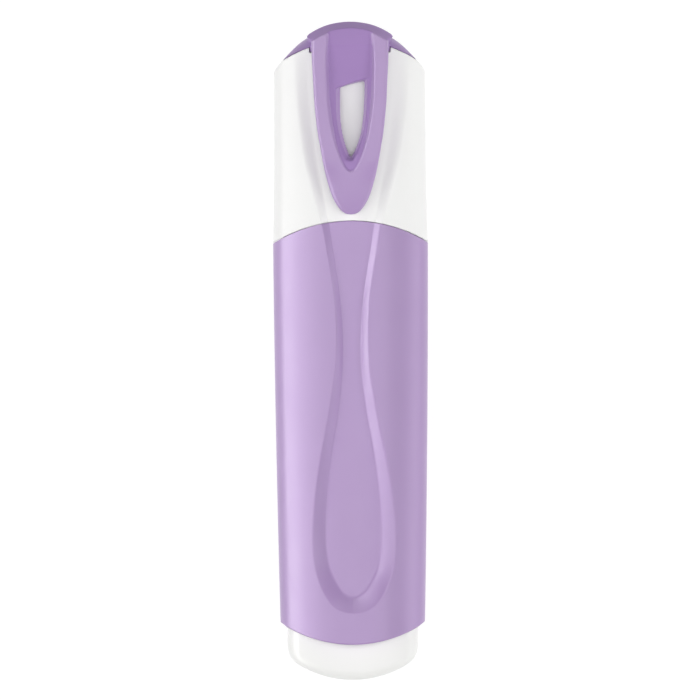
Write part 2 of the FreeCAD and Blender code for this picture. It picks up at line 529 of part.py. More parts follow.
film = body("film_body")
s = oval(sketch(film, "film_outer", "XY_Plane", "Sizes.ink_low + 1"), "Sizes.ink_wid + Sizes.film + Sizes.film_fit",
         "Sizes.ink_thk + Sizes.film + Sizes.film_fit", "Sizes.ink_rad + Sizes.film + Sizes.film_fit")
pad(film, s, "Sizes.ink_top - Sizes.ink_low - 2")
s = oval(sketch(film, "film_inner", "XY_Plane", "Sizes.ink_low + 1"), "Sizes.ink_wid + Sizes.film_fit",
         "Sizes.ink_thk + Sizes.film_fit", "Sizes.ink_rad + Sizes.film_fit")
pocket(film, s, both=True)
finish(film, "reservoir_wrap")

# ------------------------------------------------------------------ end plug
plug = body("plug")
s = oval(sketch(plug, "plug_section", "XY_Plane"), "Sizes.plug_wid", "Sizes.plug_thk", "Sizes.plug_rad")
pad(plug, s, "Sizes.plug_len")
s = sketch(plug, "plug_foot", "XZ_Plane")
pf = size("plug_foot")
foot = [(-x, pf - math.sqrt(pf * pf - x * x)) for x in (9.3, 7.8, 6.2, 4.6, 3.0, 1.5, 0)]
side = [(-11.6, 7.4), (-11.36, 6.3), (-11.15, 5.1), (-10.75, 4.1), (-10.2, 3.35), foot[0]]
outline(s, side, foot + [(-x, z) for x, z in reversed(foot[:-1])], [(-x, z) for x, z in reversed(side)],
        [(11.6, 7.4), (11.6, -2)], [(11.6, -2), (-11.6, -2)], [(-11.6, -2), (-11.6, 7.4)])
pocket(plug, s, both=True)
# the foot is also rounded towards front and back
s = sketch(plug, "plug_depth", "YZ_Plane")
pk = size("plug_thk")
round_off = [(-pk - 0.3, 2.6), (-pk, 1.75), (-pk + 0.45, 0.85), (-pk + 1.3, 0.22), (-pk + 2.6, 0.0), (-pk + 3.6, -0.2)]
outline(s, round_off, [round_off[-1], (-pk - 0.3, -0.2)], [(-pk - 0.3, -0.2), round_off[0]])
pocket(plug, s, both=True)
s = sketch(plug, "plug_depth_back", "YZ_Plane")
round_off = [(-y, z) for y, z in round_off]
outline(s, round_off, [round_off[-1], (pk + 0.3, -0.2)], [(pk + 0.3, -0.2), round_off[0]])
pocket(plug, s, both=True)
s = oval(sketch(plug, "plug_room", "XY_Plane", "Sizes.plug_floor"), "Sizes.store_wid", "Sizes.store_thk", "Sizes.store_rad")
pocket(plug, s, reverse=True)
finish(plug, "end_plug")

# ------------------------------------------------------------------ check and write
doc.recompute()
bad = [o.Name for o in doc.Objects if any(w in o.State for w in ("Invalid", "Error"))]
if bad:
    raise RuntimeError("failed objects: %s" % ", ".join(bad))
for o in ORDER:
    if o.Shape.isNull() or not o.Shape.isValid() or len(o.Shape.Solids) != 1:
        raise RuntimeError("bad shape: %s (%d solids)" % (o.Label, len(o.Shape.Solids)))
for o in ORDER:
    o.Shape.exportStep("parts/%s.step" % o.Label)
    bb = o.Shape.BoundBox
    print("%-16s %8.1f mm3  x %.2f..%.2f  y %.2f..%.2f  z %.2f..%.2f" % (
        o.Label, o.Shape.Volume, bb.XMin, bb.XMax, bb.YMin, bb.YMax, bb.ZMin, bb.ZMax))
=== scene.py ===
import json
import math

import bpy
import numpy as np
from mathutils import Matrix, Vector

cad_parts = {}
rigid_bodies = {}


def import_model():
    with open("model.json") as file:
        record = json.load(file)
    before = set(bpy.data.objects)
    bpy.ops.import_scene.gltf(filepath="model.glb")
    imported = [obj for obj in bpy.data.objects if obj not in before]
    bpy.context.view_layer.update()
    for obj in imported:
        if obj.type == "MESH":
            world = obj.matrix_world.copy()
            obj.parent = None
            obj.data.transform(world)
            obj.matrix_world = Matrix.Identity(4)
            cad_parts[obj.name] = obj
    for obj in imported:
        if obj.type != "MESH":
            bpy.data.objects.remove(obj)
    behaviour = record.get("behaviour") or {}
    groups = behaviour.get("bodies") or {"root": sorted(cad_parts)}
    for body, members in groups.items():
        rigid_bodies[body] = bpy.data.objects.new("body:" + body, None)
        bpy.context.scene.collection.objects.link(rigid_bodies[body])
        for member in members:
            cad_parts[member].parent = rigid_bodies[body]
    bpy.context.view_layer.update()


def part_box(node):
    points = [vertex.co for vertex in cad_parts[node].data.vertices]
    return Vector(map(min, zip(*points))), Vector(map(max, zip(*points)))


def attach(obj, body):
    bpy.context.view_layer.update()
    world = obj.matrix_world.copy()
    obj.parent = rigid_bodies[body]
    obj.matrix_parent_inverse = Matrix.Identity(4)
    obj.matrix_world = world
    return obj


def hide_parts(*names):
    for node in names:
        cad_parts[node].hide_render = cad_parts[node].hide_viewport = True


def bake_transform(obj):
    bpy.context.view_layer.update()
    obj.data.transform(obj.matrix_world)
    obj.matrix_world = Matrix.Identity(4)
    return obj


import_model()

# Shapes are worked out in the pen's own axes, in millimetres: x across the width, z along the
# pen from the foot of the end plug, and q up through the front from the pen's axis. put() turns
# them into the frame: x -> X, z -> Y, q -> Z.
plug_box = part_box("end_plug")
AXIS = (plug_box[0][2] + plug_box[1][2]) / 2 * 1000.0   # height of the pen's axis
FOOT = plug_box[0][1] * 1000.0                          # Y of the plug's foot


def put(x, z, q):
    return np.stack([x, z + FOOT, q + AXIS], axis=-1) / 1000.0


# ---------------------------------------------------------------- curves and fields
def curve(points, per=8):
    """Catmull-Rom curve through points, as a dense polyline."""
    p = np.array(points, float)
    p = np.vstack([2 * p[0] - p[1], p, 2 * p[-1] - p[-2]])
    t = np.linspace(0, 1, per, endpoint=False)[:, None]
    out = []
    for a, b, c, d in zip(p[:-3], p[1:-2], p[2:-1], p[3:]):
        out.append(0.5 * ((2 * b) + (c - a) * t + (2 * a - 5 * b + 4 * c - d) * t ** 2 + (3 * b - a - 3 * c + d) * t ** 3))
    out.append(p[-2][None])
    return np.vstack(out)


def along(points, z):
    """Smooth value at z of a curve given as (value, z) points."""
    c = curve(points)
    c = c[np.argsort(c[:, 1])]
    return np.interp(z, c[:, 1], c[:, 0])


def poly_sd(poly, x, z):
    """Signed distance to a closed polygon, negative inside; x and z broadcast."""
    x, z = np.broadcast_arrays(np.asarray(x, float), np.asarray(z, float))
    shape = x.shape
    px, pz = x.ravel(), z.ravel()
    best = np.full(px.shape, 1e9)
    inside = np.zeros(px.shape, bool)
    n = len(poly)
    for i in range(n):
        ax, az = poly[i]
        bx, bz = poly[(i + 1) % n]
        ex, ez = bx - ax, bz - az
        l2 = ex * ex + ez * ez
        if l2 < 1e-12:
            continue
        wx, wz = px - ax, pz - az
        t = np.clip((wx * ex + wz * ez) / l2, 0, 1)
        dx, dz = wx - ex * t, wz - ez * t
        best = np.minimum(best, dx * dx + dz * dz)
        if az != bz:
            hit = ((az > pz) != (bz > pz)) & (px < ax + ex * (pz - az) / ez)
            inside ^= hit
    d = np.sqrt(best)
    return np.where(inside, -d, d).reshape(shape)


class Outline:
    """Signed distance to a closed outline, read from a fine table by bicubic interpolation."""

    def __init__(self, poly, x0, x1, z0, z1, even=True, h=0.1):
        self.even, self.h = even, h
        self.x0, self.z0 = (-3 * h if even else x0), z0
        xs = np.arange(self.x0, x1 + h, h)
        zs = np.arange(z0, z1 + h, h)
        self.v = poly_sd(poly, xs[:, None], zs[None, :])

    def __call__(self, x, z):
        x, z = np.asarray(x, float), np.asarray(z, float)
        if self.even:
            x = np.abs(x)
        u, w = (x - self.x0) / self.h, (z - self.z0) / self.h
        i = np.clip(np.floor(u).astype(int), 1, self.v.shape[0] - 3)
        j = np.clip(np.floor(w).astype(int), 1, self.v.shape[1] - 3)
        fu, fw = np.clip(u - i, 0, 1), np.clip(w - j, 0, 1)

        def weights(t):
            return (((-0.5 * t + 1) * t - 0.5) * t, (1.5 * t - 2.5) * t * t + 1, ((-1.5 * t + 2) * t + 0.5) * t, (0.5 * t - 0.5) * t * t)

        wu, ww = weights(fu), weights(fw)
        total = 0.0
        for a in range(4):
            for b in range(4):
                total = total + wu[a] * ww[b] * self.v[i + a - 1, j + b - 1]
        return total


def mirror_poly(half):
    """Closed polygon from a right-hand outline given as (x, z), top to bottom."""
    half = np.array(half)
    left = half[::-1].copy()
    left[:, 0] *= -1
    if abs(half[-1, 0]) < 1e-9:
        left = left[1:]
    return np.vstack([half, left])


def smax(a, b, k):
    h = np.maximum(k - np.abs(a - b), 0) / k
    return np.maximum(a, b) + h * h * k * 0.25


def smin(a, b, k):
    h = np.maximum(k - np.abs(a - b), 0) / k
    return np.minimum(a, b) - h * h * k * 0.25


def step01(t):
    t = np.clip(t, 0, 1)
    return t * t * (3 - 2 * t)


def oval_sd(x, q, a, b, r):
    """Signed distance to the flat-oval section: narrow sides of radius r, broad faces tangent to them."""
    x, q = np.abs(x), np.abs(q)
    big = ((a - r) ** 2 + b * b - r * r) / (2 * (b - r))
    drop = big - b
    on_face = (q + drop) * (a - r) > x * drop
    return np.where(on_face, np.hypot(x, q + drop) - big, np.hypot(x - (a - r), q) - r)


# ---------------------------------------------------------------- the pen's outer form
STATIONS = np.array([(3, 12.43), (24, 12.88), (45, 13.22), (64, 13.42), (82, 13.52)], float)
BARREL_FIT = np.polyfit(STATIONS[:, 0], STATIONS[:, 1], 3)


BARREL_FIT[-1] -= 0.012


def half_wid(z):
    """Half width of barrel and cap; the cap draws in a little above the parting line."""
    z = np.asarray(z, float)
    low = np.polyval(BARREL_FIT, np.minimum(z, 79.0))
    t = np.clip((z - 76.0) / 16.0, 0, 1)
    high = 13.49 - 0.27 * (1 - (1 - t) ** 2) - 0.04 * np.clip((z - 92) / 14, 0, 1)
    return np.where(z < 77.0, low, high)


def half_thk(z):
    z = np.asarray(z, float)
    return 8.25 - 0.30 * np.clip((27.0 - z) / 24.0, 0, 1) ** 2


def side_rad(z):
    return 5.2


# waisted recess that runs from the top of the cap down the barrel
RIM = [(9.9, 118), (9.9, 111), (9.75, 104.4), (9.35, 99.0), (8.2, 90.7), (6.75, 85.0), (5.50, 80.6), (4.93, 78.4), (4.30, 74.6), (3.64, 70.6),
       (3.06, 66.4), (2.80, 61.8), (2.80, 57.6), (3.08, 53.6), (3.68, 49.6), (4.36, 45.4), (5.16, 41.3), (5.96, 37.0),
       (6.55, 32.8), (7.00, 28.0), (7.08, 23.6), (6.78, 20.0), (6.05, 17.0), (5.00, 14.6), (3.45, 12.6), (1.70, 11.70), (0.0, 11.42)]
FLOOR = [(7.3, 118), (7.3, 111), (7.15, 104.4), (6.80, 99.0), (5.75, 90.7), (4.75, 85.0), (4.05, 80.6), (3.75, 78.4), (3.22, 74.6), (2.58, 70.6),
         (1.98, 66.4), (1.58, 61.8), (1.46, 57.6), (1.60, 53.6), (2.04, 49.6), (2.70, 45.4), (3.50, 41.3), (4.20, 37.0),
         (4.72, 32.8), (5.08, 28.0), (5.02, 23.6), (4.50, 20.0), (3.60, 18.0), (2.68, 16.5), (1.76, 15.4), (0.85, 14.85), (0.0, 14.7)]
RIM_SD = Outline(mirror_poly(curve(RIM, 5)), 0, 14.2, 2.5, 113.0, h=0.12)
FLOOR_SD = Outline(mirror_poly(curve(FLOOR, 5)), 0, 14.2, 2.5, 113.0, h=0.12)


DEEP = [(0.10, 112), (0.30, 107), (0.60, 101), (0.80, 95), (0.90, 86), (1.0, 78), (1.14, 64), (1.33, 55), (1.62, 45), (1.98, 31), (1.93, 22), (1.60, 15), (1.40, 11), (1.0, 2)]


def recess(x, z):
    """Depth of the recess below the plain oval surface."""
    x = np.asarray(x, float)
    x = np.where(x > 0, 0.945 * x, x)
    d_rim = -RIM_SD(x, z)
    d_floor = FLOOR_SD(x, z)
    t = np.where(d_rim <= 0, 0.0, np.where(d_floor <= 0, 1.0, d_rim / np.maximum(d_rim + np.maximum(d_floor, 0), 1e-6)))
    ra, rb = 0.10, 0.82
    m = 1 / (rb + (1 - rb) / 2 - ra / 2)
    sharp = np.where(t < ra, m * t * t / (2 * ra), np.where(t < rb, m * (t - ra / 2), 1 - m * (1 - t) ** 2 / (2 * (1 - rb))))
    soft = step01(t)
    zz = np.broadcast_to(np.asarray(z, float), t.shape)
    mix = step01((zz - 80.0) / 9.0)
    return along(DEEP, zz) * (sharp * (1 - mix) + soft * mix)


SEAM_Z, SEAM_R = 54.05, 25.80       # centre and radius of the arched parting line
HEM_Z, HEM_R = 28.93, 22.80         # the same of the barrel's lower edge


def mouth(x):
    return SEAM_Z + np.sqrt(SEAM_R ** 2 - np.minimum(np.abs(x), 20) ** 2)


def hem(x):
    x = np.abs(x)
    return HEM_Z - np.sqrt(HEM_R ** 2 - np.minimum(x, 20) ** 2) + 0.10 * np.clip((x - 11.4) / 1.6, 0, 1.2) ** 2


# ---------------------------------------------------------------- meshes
def make_mesh(name, verts, faces, normals=None):
    me = bpy.data.meshes.new(name)
    verts = np.ascontiguousarray(verts, np.float32)
    faces = np.ascontiguousarray(faces, np.int32)
    n, k = faces.shape
    me.vertices.add(len(verts))
    me.vertices.foreach_set("co", verts.ravel())
    me.loops.add(n * k)
    me.loops.foreach_set("vertex_index", faces.ravel())
    me.polygons.add(n)
    me.polygons.foreach_set("loop_start", np.arange(0, n * k, k, dtype=np.int32))
    me.polygons.foreach_set("loop_total", np.full(n, k, dtype=np.int32))
    me.polygons.foreach_set("use_smooth", np.ones(n, bool))
    me.update(calc_edges=True)
    me.validate()
    if normals is not None:
        me.normals_split_custom_set_from_vertices(normals.tolist())
    ob = bpy.data.objects.new(name, me)
    bpy.context.scene.collection.objects.link(ob)
    return ob


def net(name, field, lo, hi, pitch, steps=4):
    """Closed mesh of field(x, z, q) = 0: a dual grid whose points are then moved onto the surface."""
    xs, zs, qs = (np.arange(l, h + pitch, pitch) for l, h in zip(lo, hi))
    f = np.empty((len(xs), len(zs), len(qs)), np.float32)
    slab = 48
    for k in range(0, len(zs), slab):
        zz = zs[k:k + slab]
        f[:, k:k + slab, :] = field(xs[:, None, None], zz[None, :, None], qs[None, None, :])
    s = f < 0
    cells = np.zeros(tuple(n - 1 for n in f.shape), np.int8)
    for dx in (0, 1):
        for dz in (0, 1):
            for dq in (0, 1):
                cells += s[dx:dx + cells.shape[0], dz:dz + cells.shape[1], dq:dq + cells.shape[2]]
    live = (cells > 0) & (cells < 8)
    ci = np.argwhere(live)
    index = np.full(cells.shape, -1, np.int32)
    index[live] = np.arange(len(ci))
    total = np.zeros((len(ci), 3))
    count = np.zeros(len(ci))
    corners = [(dx, dz, dq) for dx in (0, 1) for dz in (0, 1) for dq in (0, 1)]
    for a in corners:
        for b in corners:
            if a < b and sum(abs(i - j) for i, j in zip(a, b)) == 1:
                fa = f[ci[:, 0] + a[0], ci[:, 1] + a[1], ci[:, 2] + a[2]].astype(float)
                fb = f[ci[:, 0] + b[0], ci[:, 1] + b[1], ci[:, 2] + b[2]].astype(float)
                cross = (fa < 0) != (fb < 0)
                t = np.where(cross, fa / np.where(cross, fa - fb, 1), 0)
                p = np.array(a)[None] + t[:, None] * (np.array(b) - np.array(a))[None]
                total += np.where(cross[:, None], p, 0)
                count += cross
    p = (ci + total / count[:, None]) * pitch + np.array([xs[0], zs[0], qs[0]])
    quads = []
    for axis in range(3):
        lo_s = [slice(None)] * 3
        hi_s = [slice(None)] * 3
        lo_s[axis], hi_s[axis] = slice(0, -1), slice(1, None)
        change = s[tuple(lo_s)] != s[tuple(hi_s)]
        e = np.argwhere(change)
        u, v = [k for k in range(3) if k != axis]
        e = e[(e[:, u] > 0) & (e[:, v] > 0) & (e[:, u] < f.shape[u] - 1) & (e[:, v] < f.shape[v] - 1)]
        got = []
        for du, dv in ((1, 1), (0, 1), (0, 0), (1, 0)):
            c = e.copy()
            c[:, u] -= du
            c[:, v] -= dv
            got.append(index[c[:, 0], c[:, 1], c[:, 2]])
        quad = np.stack(got, 1)
        start = s[e[:, 0], e[:, 1], e[:, 2]]
        flip = ~start if axis != 1 else start
        quad[flip] = quad[flip][:, ::-1]
        quads.append(quad)
    quads = np.vstack(quads)
    quads = quads[(quads >= 0).all(1)]

    def gradient(p, e=0.012, here=None):
        g = np.empty_like(p)
        for k in range(3):
            d = np.zeros(3)
            d[k] = e
            a, b = p + d, p - d
            low = here if here is not None else field(b[:, 0], b[:, 1], b[:, 2])
            g[:, k] = (field(a[:, 0], a[:, 1], a[:, 2]) - low) / (e if here is not None else 2 * e)
        return g

    home = p.copy()
    for _ in range(steps):
        v = field(p[:, 0], p[:, 1], p[:, 2])
        g = gradient(p, here=v)
        move = -(v / np.maximum((g * g).sum(1), 0.2))[:, None] * g
        size = np.linalg.norm(move, axis=1, keepdims=True)
        p = p + move * np.minimum(1, 0.5 * pitch / np.maximum(size, 1e-9))
    off = np.linalg.norm(p - home, axis=1)
    p[off > 1.5 * pitch] = home[off > 1.5 * pitch]
    g = gradient(p, 0.03)
    n = g / np.maximum(np.linalg.norm(g, axis=1, keepdims=True), 1e-9)
    # outward orientation from the signed volume
    a, b, c, d = (p[quads[:, k]] for k in range(4))
    vol = (np.einsum("ij,ij->i", a, np.cross(b, c)) + np.einsum("ij,ij->i", a, np.cross(c, d))).sum()
    if vol < 0:
        quads = quads[:, ::-1]
    # the pen's axes (x, z, q) are the frame's (X, Y, Z), so the handedness stays
    return make_mesh(name, put(p[:, 0], p[:, 1], p[:, 2]), quads, n)


def barrel_mesh(name):
    k = 1.0

    def face(n_out, walls, n_in):
        """Columns over a broad face, right to left: shares of the face edge, the rim and the foot of the recess."""
        half = [(1 - f, f, 0.0) for f in np.linspace(0, 1, n_out + 1)[:-1]]
        half += [(0.0, 1 - t, t) for t in walls[:-1]]
        half += [(0.0, 0.0, 1 - f) for f in np.linspace(0, 1, n_in + 1)[:-1]]
        return np.array(half + [(0.0, 0.0, 0.0)] + [(-e, -r, -f) for e, r, f in half[1:][::-1]])

    walls = [0, 0.035, 0.08, 0.13, 0.2, 0.3, 0.42, 0.54, 0.65, 0.74, 0.83, 0.91, 1.0]
    front = face(int(34 * k), walls, int(26 * k))
    back = face(int(14 * k), walls[::2], int(10 * k))
    n_side = int(16 * k)
    kind = np.concatenate([np.full(n_side, 0), np.full(len(front), 1), np.full(n_side, 2), np.full(len(back), 3)])
    share = np.concatenate([np.arange(n_side) / n_side, np.zeros(len(front)), np.arange(n_side) / n_side, np.zeros(len(back))])
    coef = np.zeros((len(kind), 3))
    coef[kind == 1] = front
    coef[kind == 3] = -back
    r_hem, r_mouth = 0.26, 0.09
    end = np.array([0, 0.012, 0.035, 0.07, 0.115, 0.17, 0.24, 0.33])
    t = [0.0]
    while t[-1] < 1:
        t.append(t[-1] + (0.0016 if 0.035 < t[-1] < 0.20 else 0.0040) / k)
    t = np.array(t) / t[-1]

    def place(x):
        """Heights of every row for the given columns' x."""
        rows = [hem(x[i]) + e for i, e in enumerate(end)]
        n = len(end)
        for j, s in enumerate(t[1:-1]):
            xx = x[n + j]
            rows.append(hem(xx) + end[-1] + (mouth(xx) - hem(xx) - 2 * end[-1]) * s)
        for j, e in enumerate(end[::-1]):
            rows.append(mouth(x[n + len(t) - 2 + j]) - e)
        return np.array(rows)

    n_rows = 2 * len(end) + len(t) - 2

    def at(z):
        a, b = half_wid(z), half_thk(z)
        r = np.full_like(a, 5.2)
        big = ((a - r) ** 2 + b * b - r * r) / (2 * (b - r))
        phi = np.arctan2(big - b, a - r)
        edge = big * np.cos(phi)
        rim = np.maximum(along(RIM, z), 3.0)
        foot = np.clip(along(FLOOR, z), 1.1, rim - 0.8)
        xf = coef[:, 0] * edge + coef[:, 1] * rim + coef[:, 2] * foot
        lean = np.arccos(np.clip(xf / big, -1, 1))
        ang = np.where(kind == 0, -phi + 2 * phi * share, np.where(kind == 1, lean, np.where(kind == 2, math.pi - phi + 2 * phi * share, -lean)))
        side = (kind == 0) | (kind == 2)
        rad = np.where(side, r, big)
        cx = np.where(kind == 0, a - r, np.where(kind == 2, -(a - r), 0.0))
        cq = np.where(kind == 1, -(big - b), np.where(kind == 3, big - b, 0.0))
        return cx + rad * np.cos(ang), cq + rad * np.sin(ang), np.cos(ang), np.sin(ang)

    z = np.full((n_rows, len(kind)), 40.0)
    for _ in range(5):
        x, q, nx, nq = at(z)
        z = place(x)
    x, q, nx, nq = at(z)
    inset = recess(x, z)
    for e, r in ((z - hem(x), r_hem), (mouth(x) - z, r_mouth)):
        e = np.clip(e, 0, r)
        inset = inset + r - np.sqrt(np.maximum(r * r - (r - e) ** 2, 0))
    x, q = x - nx * inset, q - nq * inset
    # inner wall, from the mouth back down to the hem, on the same columns
    a, b, r = 11.40, 5.60, 4.0
    turn = np.arctan2(q[-1], x[-1])
    table = np.linspace(0, 2 * math.pi, 4001)
    tx, tq = np.cos(table), np.sin(table)
    reach = np.full(len(table), 20.0)
    for _ in range(40):
        reach = reach - oval_sd(tx * reach, tq * reach, a, b, r)
    radius = np.interp(np.mod(turn, 2 * math.pi), table, reach)
    bx, bq = np.cos(turn) * radius, np.sin(turn) * radius
    zi1, zi0 = mouth(bx), hem(bx)
    inner_z = [zi1 - 0.02, zi1 - 0.12]
    for s in np.linspace(0, 1, 22)[1:-1]:
        inner_z.append(zi1 - 0.3 + (zi0 - zi1 + 0.6) * s)
    inner_z += [zi0 + 0.12, zi0 + 0.02]
    inner_z = np.array(inner_z)
    grow = 1 + np.array([0.010] + [0.0] * (len(inner_z) - 2) + [0.010])[:, None]
    X = np.vstack([x, bx[None] * grow])
    Z = np.vstack([z, inner_z])
    Q = np.vstack([q, bq[None] * grow])
    R, C = X.shape
    idx = np.arange(R * C).reshape(R, C)
    quads = np.stack([idx, np.roll(idx, -1, 1), np.roll(np.roll(idx, -1, 0), -1, 1), np.roll(idx, -1, 0)], -1).reshape(-1, 4)
    p = np.stack([X, Z, Q], -1).reshape(-1, 3)
    A, B, Cc, D = (p[quads[:, i]] for i in range(4))
    vol = (np.einsum("ij,ij->i", A, np.cross(B, Cc)) + np.einsum("ij,ij->i", A, np.cross(Cc, D))).sum()
    if vol < 0:
        quads = quads[:, ::-1]
    return make_mesh(name, put(p[:, 0], p[:, 1], p[:, 2]), quads)


# ---------------------------------------------------------------- cap, crown and clip as fields
BROW_R, BROW_TOP = 21.7, 111.2


def brow(x):
    """The shell's arched top edge with its rounded shoulders, seen from the front."""
    x = np.abs(x)
    arch = BROW_TOP - BROW_R + np.sqrt(BROW_R ** 2 - np.minimum(x, 16) ** 2)
    c = np.clip(x - 11.75, 0, 1.8)
    return arch - 0.38 * c - 0.10 * c ** 2


def cap_field(x, z, q):
    body = oval_sd(x, q, half_wid(z), half_thk(z), 5.2) + recess(x, z)
    top = (z - brow(x)) * 0.86
    low = (SEAM_R + 0.035) - np.hypot(x, z - SEAM_Z)
    bore = np.maximum(oval_sd(x, q, 11.40, 6.15, 4.0), z - 105.4)
    seat = np.maximum(np.hypot(x, q) - 6.1, z - 108.8)
    shoulder = step01((np.abs(x) - 11.0) / 1.6)
    solid = smax(body, top, 0.06 + 0.40 * shoulder)
    solid = smax(solid, low, 0.14)
    notch = np.maximum(np.maximum(np.abs(x) - 7.02, 109.15 - z), 4.0 - q)
    solid = smax(solid, -notch, 0.12)
    return smax(solid, -np.minimum(bore, seat), 0.2)


def crown_arch(x):
    return 113.6 - 15.6 + np.sqrt(15.6 ** 2 - np.minimum(np.abs(x), 15) ** 2)


def crown_field(x, z, q):
    plan = oval_sd(x, q, 13.16, 8.22, 5.2) + recess(x, np.full_like(np.asarray(x, float), 109.0))
    plan = smax(plan, np.abs(x) - 12.15, 0.3)
    edge = BROW_TOP - BROW_R + np.sqrt(BROW_R ** 2 - np.minimum(np.abs(x), 16) ** 2)
    depth = np.clip(-plan / 5.4, 0, 1)
    rise = crown_arch(x) - edge
    roof = edge + rise * (1 - (1 - depth) ** 2.4)
    top = (z - roof) * 0.88
    low = (edge + 0.02 - z) * 0.95
    return smax(smax(plan, top, 0.35), low, 0.08)


ARM = [(6.60, 114.5), (6.60, 111.5), (6.66, 108.0), (6.45, 104.0), (6.26, 100.2), (5.80, 95.7), (5.32, 92.8), (4.85, 90.1),
       (4.17, 87.0), (3.22, 84.05), (2.0, 81.95), (0.95, 81.0), (0.0, 80.75)]
ARM_SD = Outline(mirror_poly(curve(ARM, 5)), 0, 13.6, 78.5, 117.0)
FACE = [(10.76, 116), (10.76, 113.6), (10.78, 108.0), (10.76, 104.0), (10.68, 98.0), (10.42, 92.0), (10.02, 87.5), (9.50, 84.0), (8.95, 81.7), (8.6, 80.7), (8.4, 79.5)]
BACK = [(7.6, 116), (7.6, 110.8), (7.9, 109.4), (8.28, 107.5), (8.40, 104.0), (8.42, 98.0), (8.40, 92.0), (8.20, 86.6), (7.95, 83.6), (7.95, 82.2), (8.15, 81.2), (8.4, 80.4), (8.5, 79.5)]
CHANNEL = [(3.66, 118), (3.66, 111.0), (3.62, 107.9), (3.52, 104.0), (3.36, 100.4), (2.74, 95.7), (2.15, 92.8), (1.35, 90.2), (0.6, 88.9), (0.0, 88.6)]
CHANNEL_SD = Outline(mirror_poly(curve(CHANNEL, 5)), 0, 13.6, 78.5, 117.0)
SLOT_L = [(-1.72, 112.0), (-1.72, 103.0), (-1.74, 100.0), (-1.70, 98.0), (-1.48, 95.9), (-1.08, 93.9), (-0.55, 92.2), (-0.12, 91.2)]
SLOT_R = [(0.15, 91.1), (0.72, 92.1), (1.34, 93.7), (1.84, 95.4), (2.16, 97.6), (2.36, 100.2), (2.48, 104.0), (2.52, 112.0)]
SLOT_SD = Outline(np.vstack([curve(SLOT_L, 5), curve(SLOT_R, 5)]), -13.6, 13.6, 78.5, 117.0, even=False)


def channel_depth(z):
    return 0.50 + 0.50 * step01((112.5 - z) / 6) - 0.72 * step01((98.0 - z) / 9.5)


def arm_field(x, z, q):
    plan = ARM_SD(x, z)
    face = along(FACE, z)
    back = along(BACK, z)
    # the tongue below the channel is crowned across its width
    crowned = step01((90.5 - z) / 5.0) * 0.055 * np.asarray(x) ** 2
    up = (q - face + crowned) * 0.97
    under = (back - q)
    d = smax(plan, up, 0.75)
    d = smax(d, under, 0.35)
    # channel in the face: floor sinks towards the slot, walls lean outwards
    floor = face - channel_depth(z)
    channel = smax((CHANNEL_SD(x, z) - 0.62 * (q - floor)) * 0.85, floor - q, 0.25)
    d = smax(d, -channel, 0.22)
    x, z = np.asarray(x, float), np.asarray(z, float)
    rise = np.clip(q - back - 0.1, 0, 3)
    lean = 0.50 + 0.30 * step01((0.9 - x) / 1.8)
    slot = (SLOT_SD(x, z) - lean * rise) * 0.82
    brink = (z - 103.52 - 0.27 * x + 0.02 * x * x - (0.22 + 0.05 * np.clip(x, -2, 3)) * rise) * 0.92
    return smax(d, -smax(slot, brink, 0.35), 0.25)


LIP_Z, LIP_R = 101.93, 12.62


def lip_field(x, z, q):
    """The clip's root: wider than the arm, falling away to the crown behind."""
    ax = np.abs(x)
    wide = 6.62 + 0.78 * step01((z - 110.9) / 1.1)
    side = ax - (6.46 + (wide - 6.46) * np.clip((10.70 - q) / 2.2, 0, 1))
    d = smax(side * 0.93, q - 10.55, 0.2)
    d = smax(d, 7.62 - q, 0.3)
    d = smax(d, 110.2 - z, 0.5)
    back = smax((0.82 * (z - 114.60) - 0.57 * (q - 7.9)), np.maximum(ax - wide, 3.5 - q), 0.4)
    back = smax(back, np.maximum(q - 9.5, 111.2 - z), 0.3)
    return smin(d, back, 0.5)


def clip_field(x, z, q):
    x, z, q = np.asarray(x, float), np.asarray(z, float), np.asarray(q, float)
    face = along(FACE, z)
    # arm and root together, under the arched top and its sloping band
    front = smin(arm_field(x, z, q), lip_field(x, z, q), 0.12)
    rho = np.hypot(x, np.maximum(z - LIP_Z, 0)) - LIP_R
    front = smax(front, rho, 0.35)
    front = smax(front, (2.5 * (rho + 1.45) + 1.18 * (q - 10.78)) / 2.764, 0.16)
    # the channel also runs through the root's face
    floor = face - channel_depth(z)
    cut = smax((CHANNEL_SD(x, z) - 0.62 * (q - floor)) * 0.85, floor - q, 0.25)
    front = smax(front, -cut, 0.22)
    key = np.maximum(np.maximum(np.abs(x) - 6.88, 109.28 - z), np.maximum(4.15 - q, np.maximum(q - 7.55, z - 110.6)))
    return smin(np.minimum(crown_field(x, z, q), key), front, 0.6)


def plug_field(x, z, q):
    wall = oval_sd(x, q, 11.36, 5.56, 3.98)
    ends = smax(wall, np.hypot(x, z - 18.3) - 18.3, 1.7)
    ends = smax(ends, z - 16.9, 0.3)
    room = np.maximum(oval_sd(x, q, 9.9, 4.82, 3.4), 4.8 - z)
    return smax(ends, -room, 0.2)


# ---------------------------------------------------------------- materials
def srgb(r, g, b):
    return tuple(((c / 255.0) / 12.92 if c <= 10 else ((c / 255.0 + 0.055) / 1.055) ** 2.4) for c in (r, g, b))


